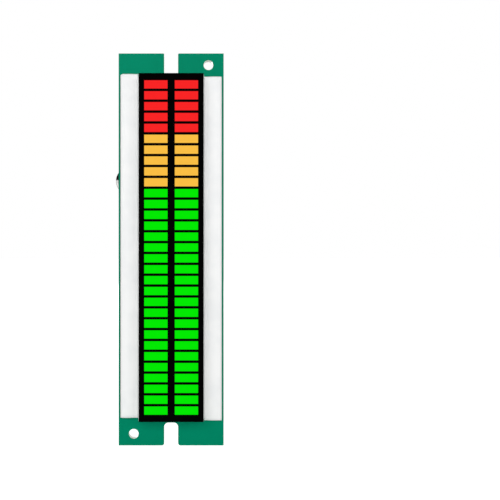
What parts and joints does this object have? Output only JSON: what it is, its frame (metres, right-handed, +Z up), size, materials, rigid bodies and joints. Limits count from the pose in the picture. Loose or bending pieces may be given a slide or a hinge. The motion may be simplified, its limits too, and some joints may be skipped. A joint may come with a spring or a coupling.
{
  "type": "led level meter module",
  "caption": "Narrow circuit board with a two-column bar display on its front and trimmers, chips, capacitor and plug-in header on its back.",
  "frame": {"origin": "centre of the circuit board's front face, midway between its two corner holes", "axes": "+Z up along the board's length, +Y from the display side into the board and out of its back, +X to the right seen from the display side"},
  "size_m": [0.0233, 0.0146, 0.084],
  "materials": {
    "board": "green solder mask on glass-epoxy laminate",
    "white_moulding": "moulded white",
    "black_face": "printed matt black",
    "inner_laminate": "plain laminate",
    "potting": "cast epoxy",
    "tinned_metal": "tin plated",
    "die": "bare crystal",
    "red_epoxy": "tinted diffusing epoxy, lit",
    "amber_epoxy": "tinted diffusing epoxy, lit",
    "green_epoxy": "tinted diffusing epoxy, lit",
    "foam": "white closed-cell foam",
    "chip_moulding": "fine matt moulding",
    "blue_moulding": "satin blue",
    "rotor": "plated, satin",
    "spring_metal": "rolled",
    "white_ceramic": "unglazed",
    "can": "bright drawn",
    "black_sleeve": "shrunk film",
    "rubber": "moulded",
    "cream_moulding": "natural nylon",
    "black_coat": "glazed black",
    "tan_ceramic": "fired, unglazed",
    "solder": "bright solder"
  },
  "bodies": {
    "board": {"circuit_board": "board", "display_housing": "white_moulding", "display_face": "black_face", "inner_board": "inner_laminate", "rear_potting": "potting", "display_pins": "tinned_metal", "light_dies": "die", "red_bars": "red_epoxy", "amber_bars": "amber_epoxy", "green_bars": "green_epoxy", "left_foam_strip": "foam", "right_foam_strip": "foam", "controller_body": "chip_moulding", "controller_leads": "tinned_metal", "driver_body": "chip_moulding", "driver_leads": "tinned_metal", "trimmer_1_housing": "blue_moulding", "trimmer_2_housing": "blue_moulding", "trimmer_3_housing": "blue_moulding", "trimmer_elements": "white_ceramic", "trimmer_pins": "tinned_metal", "capacitor_can": "can", "capacitor_sleeve": "black_sleeve", "capacitor_bung": "rubber", "capacitor_leads": "tinned_metal", "header_housing": "cream_moulding", "header_contacts": "tinned_metal", "transistor_bodies": "chip_moulding", "transistor_leads": "tinned_metal", "small_chip_bodies": "chip_moulding", "small_chip_leads": "tinned_metal", "resistor_chips": "white_ceramic", "resistor_coats": "black_coat", "resistor_caps": "solder", "ceramic_chips": "tan_ceramic", "ceramic_caps": "solder", "solder_joints": "solder"},
    "rotor_1": {"trimmer_1_rotor": "rotor", "trimmer_1_wiper": "spring_metal"},
    "rotor_2": {"trimmer_2_rotor": "rotor", "trimmer_2_wiper": "spring_metal"},
    "rotor_3": {"trimmer_3_rotor": "rotor", "trimmer_3_wiper": "spring_metal"}
  },
  "joints": [
    {"name": "trimmer_1_turn", "type": "hinge", "parent": "board", "child": "rotor_1", "pos_m": [-0.00575, 0.0055, -0.0029], "axis": [0, 1, 0], "range_deg": [-120, 120]},
    {"name": "trimmer_2_turn", "type": "hinge", "parent": "board", "child": "rotor_2", "pos_m": [0.00135, 0.0055, -0.0205], "axis": [0, 1, 0], "range_deg": [-165, 75]},
    {"name": "trimmer_3_turn", "type": "hinge", "parent": "board", "child": "rotor_3", "pos_m": [-0.0069, 0.0055, -0.0205], "axis": [0, 1, 0], "range_deg": [-165, 75]}
  ]
}
